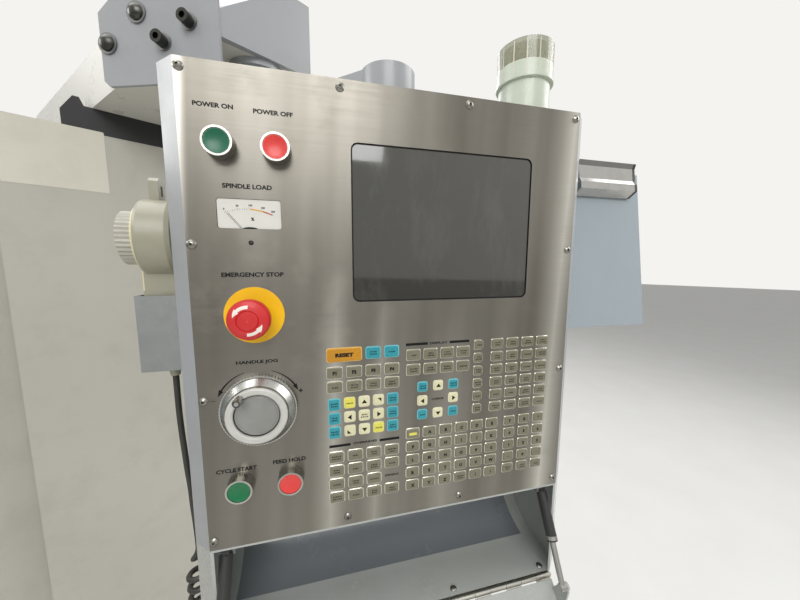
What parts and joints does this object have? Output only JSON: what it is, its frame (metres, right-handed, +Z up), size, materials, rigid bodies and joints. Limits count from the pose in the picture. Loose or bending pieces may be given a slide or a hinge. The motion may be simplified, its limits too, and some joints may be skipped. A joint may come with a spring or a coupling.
{
  "type": "cnc machining center",
  "caption": "Vertical machining centre with a swivelling control pendant, sliding doors, moving table and head, a tool carousel and a drop-flap bin",
  "frame": {"origin": "centre of the four floor anchor holes, at floor level", "axes": "+X right as the operator faces the machine, +Y to the back, +Z up; the doors and the control pendant face -Y"},
  "size_m": [2.6048, 2.8606, 2.25],
  "materials": {
    "casting": "satin machine paint on cast iron",
    "cream_paint": "cream powder coat",
    "white_paint": "off-white powder coat",
    "grey_paint": "smooth grey powder coat",
    "bin_paint": "glossy grey-green paint",
    "pan_sheet": "plain grey sheet",
    "black_paint": "black powder coat",
    "foot_paint": "black enamel",
    "panel_steel": "horizontally brushed stainless",
    "rail_steel": "ground steel",
    "table_iron": "ground cast iron",
    "bright_steel": "bright plated steel",
    "bolt_steel": "zinc and black steel fasteners",
    "door_glass": "safety glass",
    "display_glass": "dark glossy screen",
    "meter_face": "meter behind a clear window",
    "key_grey": "olive-grey membrane keys",
    "key_teal": "teal, cream, yellow and orange membrane keys",
    "switch_metal": "satin aluminium bezels",
    "cap_green": "green button cap",
    "cap_red": "red button cap",
    "stop_red": "red mushroom head",
    "stop_yellow": "yellow disc",
    "dial_metal": "knurled and turned aluminium",
    "knob_metal": "satin aluminium knob",
    "beacon_body": "pale greenish plastic",
    "beacon_clear": "frosted clear lens",
    "board_paint": "glossy blue-grey paint",
    "pocket_sheet": "light grey bent sheet",
    "handle_plastic": "warm grey moulded plastic",
    "wheel_plastic": "pale ribbed plastic",
    "cord_rubber": "black rubber cord",
    "motor_black": "black finned motor case",
    "carousel_black": "dark anodised disc"
  },
  "bodies": {
    "machine": {"base_casting": "casting", "leveling_feet": "bolt_steel", "column_casting": "casting", "guide_rails": "rail_steel", "chip_pan": "pan_sheet", "coolant_tank": "pan_sheet", "coolant_pump": "motor_black", "left_side_panel": "cream_paint", "right_side_panel": "cream_paint", "left_front_panel": "cream_paint", "right_front_panel": "cream_paint", "front_apron": "cream_paint", "door_header": "cream_paint", "electrical_cabinet": "cream_paint", "tool_changer_beam": "casting", "boom_beam": "white_paint", "boom_bracket": "grey_paint", "boom_bolts": "bolt_steel", "boom_foot": "foot_paint", "swivel_arm": "grey_paint"},
    "saddle": {"saddle_casting": "casting"},
    "table": {"work_table": "table_iron"},
    "head": {"spindle_head": "casting", "spindle_motor": "motor_black"},
    "spindle": {"spindle": "rail_steel"},
    "shuttle": {"tool_changer_slide": "casting"},
    "carousel": {"tool_carousel": "carousel_black"},
    "left_door": {"left_door": "cream_paint", "left_window": "door_glass"},
    "right_door": {"right_door": "cream_paint", "right_window": "door_glass"},
    "pendant": {"pendant_housing": "grey_paint", "rear_cover": "grey_paint", "control_panel": "panel_steel", "panel_screws": "bright_steel", "display_unit": "display_glass", "load_meter": "meter_face", "grey_keys": "key_grey", "colour_keys": "key_teal", "switch_bodies": "switch_metal", "stop_backplate": "stop_yellow", "beacon_base": "beacon_body", "beacon_lens": "beacon_clear", "clipboard": "board_paint", "handle_pocket": "pocket_sheet", "remote_handle": "handle_plastic", "handle_lead": "cord_rubber", "handle_curl": "cord_rubber", "storage_bin": "bin_paint"},
    "power_on_button": {"power_on_button": "cap_green"},
    "power_off_button": {"power_off_button": "cap_red"},
    "cycle_start_button": {"cycle_start_button": "cap_green"},
    "feed_hold_button": {"feed_hold_button": "cap_red"},
    "stop_button": {"stop_button": "stop_red"},
    "jog_dial": {"jog_dial": "dial_metal"},
    "jog_knob": {"jog_knob": "knob_metal"},
    "remote_wheel": {"remote_wheel": "wheel_plastic"},
    "clip_lever": {"clip_lever": "bright_steel"},
    "flap": {"bin_flap": "bin_paint"},
    "strut_tubes": {"strut_tubes": "black_paint"},
    "strut_rods": {"strut_rods": "bright_steel"}
  },
  "joints": [
    {"name": "saddle_y", "type": "slide", "parent": "machine", "child": "saddle", "axis": [0, 1, 0], "range_m": [-0.203, 0.203]},
    {"name": "table_x", "type": "slide", "parent": "saddle", "child": "table", "axis": [1, 0, 0], "range_m": [-0.254, 0.254]},
    {"name": "head_z", "type": "slide", "parent": "machine", "child": "head", "axis": [0, 0, 1], "range_m": [-0.508, 0]},
    {"name": "spindle_spin", "type": "hinge", "parent": "head", "child": "spindle", "pos_m": [0, 0, 1.5], "axis": [0, 0, 1], "continuous": true},
    {"name": "shuttle_x", "type": "slide", "parent": "machine", "child": "shuttle", "axis": [1, 0, 0], "range_m": [0, 0.35]},
    {"name": "carousel_spin", "type": "hinge", "parent": "shuttle", "child": "carousel", "pos_m": [-0.6, 0, 1.3], "axis": [0, 0, 1], "continuous": true},
    {"name": "left_door_slide", "type": "slide", "parent": "machine", "child": "left_door", "axis": [-1, 0, 0], "range_m": [0, 0.4]},
    {"name": "right_door_slide", "type": "slide", "parent": "machine", "child": "right_door", "axis": [1, 0, 0], "range_m": [0, 0.4]},
    {"name": "pendant_swivel", "type": "hinge", "parent": "machine", "child": "pendant", "pos_m": [1.016, -1.351, 1.76], "axis": [0, 0, 1], "range_deg": [-60, 30]},
    {"name": "power_on_button_press", "type": "slide", "parent": "pendant", "child": "power_on_button", "axis": [0.515, 0.8572, 0], "range_m": [0, 0.004], "stiffness_N_per_m": 800},
    {"name": "power_off_button_press", "type": "slide", "parent": "pendant", "child": "power_off_button", "axis": [0.515, 0.8572, 0], "range_m": [0, 0.004], "stiffness_N_per_m": 800},
    {"name": "cycle_start_button_press", "type": "slide", "parent": "pendant", "child": "cycle_start_button", "axis": [0.515, 0.8572, 0], "range_m": [0, 0.004], "stiffness_N_per_m": 800},
    {"name": "feed_hold_button_press", "type": "slide", "parent": "pendant", "child": "feed_hold_button", "axis": [0.515, 0.8572, 0], "range_m": [0, 0.004], "stiffness_N_per_m": 800},
    {"name": "stop_press", "type": "slide", "parent": "pendant", "child": "stop_button", "axis": [0.515, 0.8572, 0], "range_m": [0, 0.005]},
    {"name": "jog_spin", "type": "hinge", "parent": "pendant", "child": "jog_dial", "pos_m": [0.81491, -1.3585, 1.408], "axis": [-0.515, -0.8572, 0], "continuous": true},
    {"name": "knob_spin", "type": "hinge", "parent": "jog_dial", "child": "jog_knob", "pos_m": [0.79073, -1.36964, 1.43], "axis": [-0.515, -0.8572, 0], "continuous": true},
    {"name": "remote_spin", "type": "hinge", "parent": "pendant", "child": "remote_wheel", "pos_m": [0.75796, -1.25137, 1.595], "axis": [0.9205, -0.3907, 0], "continuous": true},
    {"name": "clip_press", "type": "hinge", "parent": "pendant", "child": "clip_lever", "pos_m": [1.26309, -1.57177, 1.68947], "axis": [-0.8572, 0.515, 0], "range_deg": [0, 20], "stiffness_Nm_per_rad": 2},
    {"name": "flap_hinge", "type": "hinge", "parent": "pendant", "child": "flap", "pos_m": [0.95754, -1.44829, 1.0995], "axis": [-0.8572, 0.515, 0], "range_deg": [0, 135]},
    {"name": "strut_swing", "type": "hinge", "parent": "pendant", "child": "strut_tubes", "pos_m": [0.96862, -1.42986, 1.234], "axis": [0.8572, -0.515, 0], "range_deg": [-0.1, 34.53]},
    {"name": "rod_slide", "type": "slide", "parent": "strut_tubes", "child": "strut_rods", "axis": [-0.2287, -0.3807, -0.896], "range_m": [-0.00338, 0.0001]}
  ],
  "couplings": [
    {"joint": "strut_swing", "follows": "flap_hinge", "ratio": 0.25505},
    {"joint": "rod_slide", "follows": "flap_hinge", "m_per_rad": -0.0013943}
  ]
}
